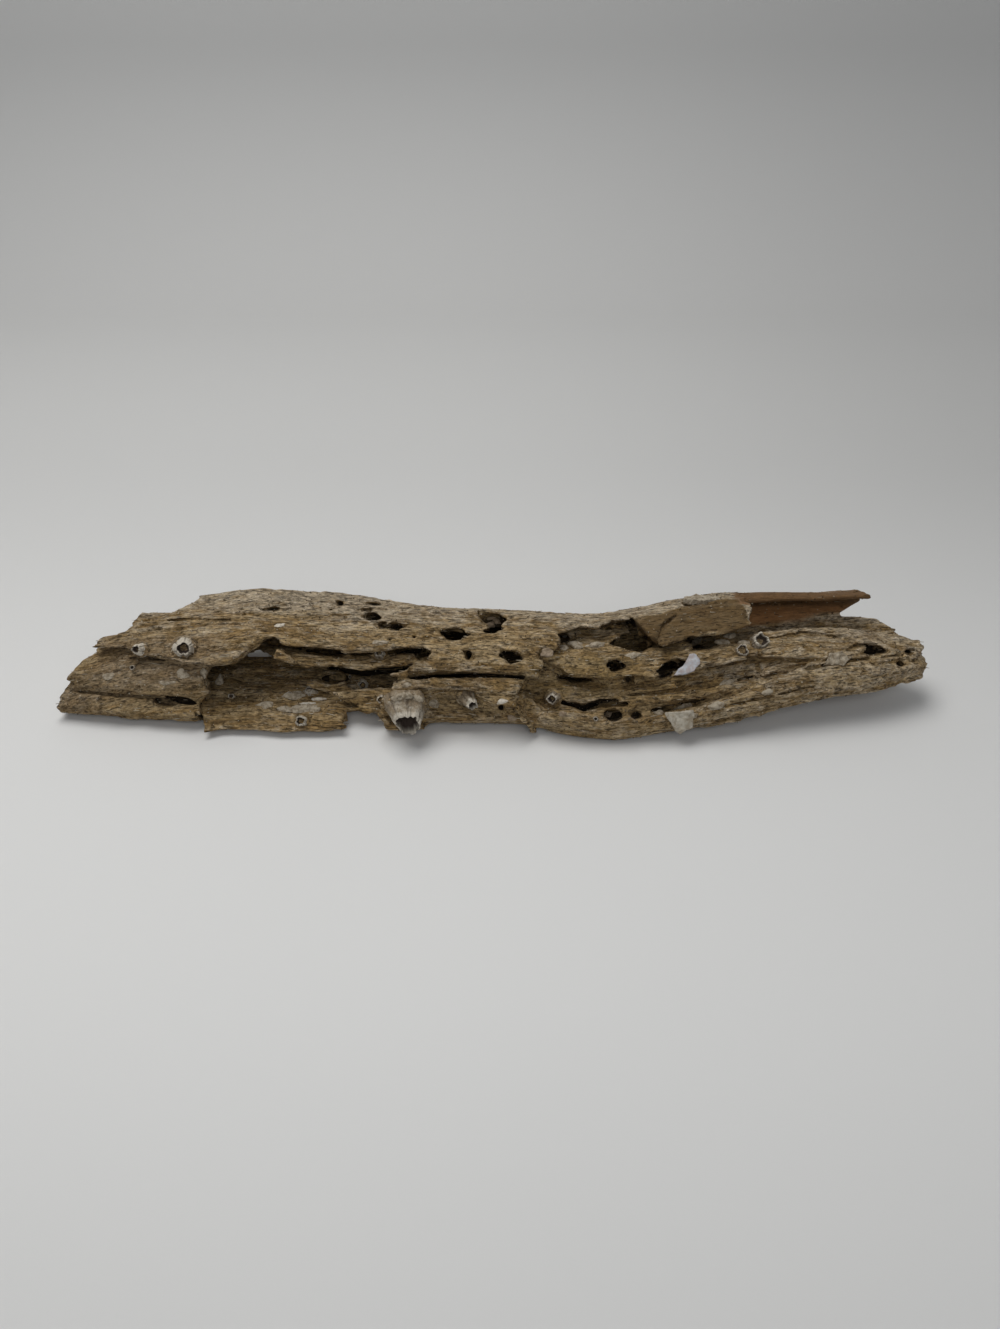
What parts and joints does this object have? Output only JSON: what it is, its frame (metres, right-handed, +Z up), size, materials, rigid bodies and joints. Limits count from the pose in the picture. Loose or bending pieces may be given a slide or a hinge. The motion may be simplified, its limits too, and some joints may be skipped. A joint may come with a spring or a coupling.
{
  "type": "driftwood with barnacles",
  "caption": "Hollow weathered driftwood log, peeled into ledges with bores and a lifted end, carrying barnacles, shell scraps and crusts.",
  "frame": {"origin": "bottom centre of the bounding box, on the surface the log lies on", "axes": "+X along the grain towards the lifted end, +Y to the back, +Z up"},
  "size_m": [0.404, 0.0888, 0.0414],
  "materials": {
    "weathered_wood": "dry grey-brown, grained and pitted",
    "barnacle_shell": "chalky ribbed off-white shell",
    "pearly_shell": "smooth pale blue-grey pearl",
    "salt_crust": "rough pale tan crust"
  },
  "bodies": {
    "root": {"driftwood": "weathered_wood", "barnacle_tongue_left": "barnacle_shell", "barnacle_tongue_right": "barnacle_shell", "barnacle_rim": "barnacle_shell", "barnacle_floor": "barnacle_shell", "barnacle_layer": "barnacle_shell", "barnacle_plate_upper": "barnacle_shell", "barnacle_plate_lower": "barnacle_shell", "barnacle_large": "barnacle_shell", "barnacle_lens": "barnacle_shell", "barnacle_hollow": "barnacle_shell", "barnacle_ring_broken": "barnacle_shell", "barnacle_ring": "barnacle_shell", "shell_pearly": "pearly_shell", "shell_plate_hanging": "barnacle_shell", "shell_pebble": "barnacle_shell", "crust_rim": "salt_crust", "crust_finger": "salt_crust", "crust_flap": "salt_crust"}
  },
  "joints": []
}
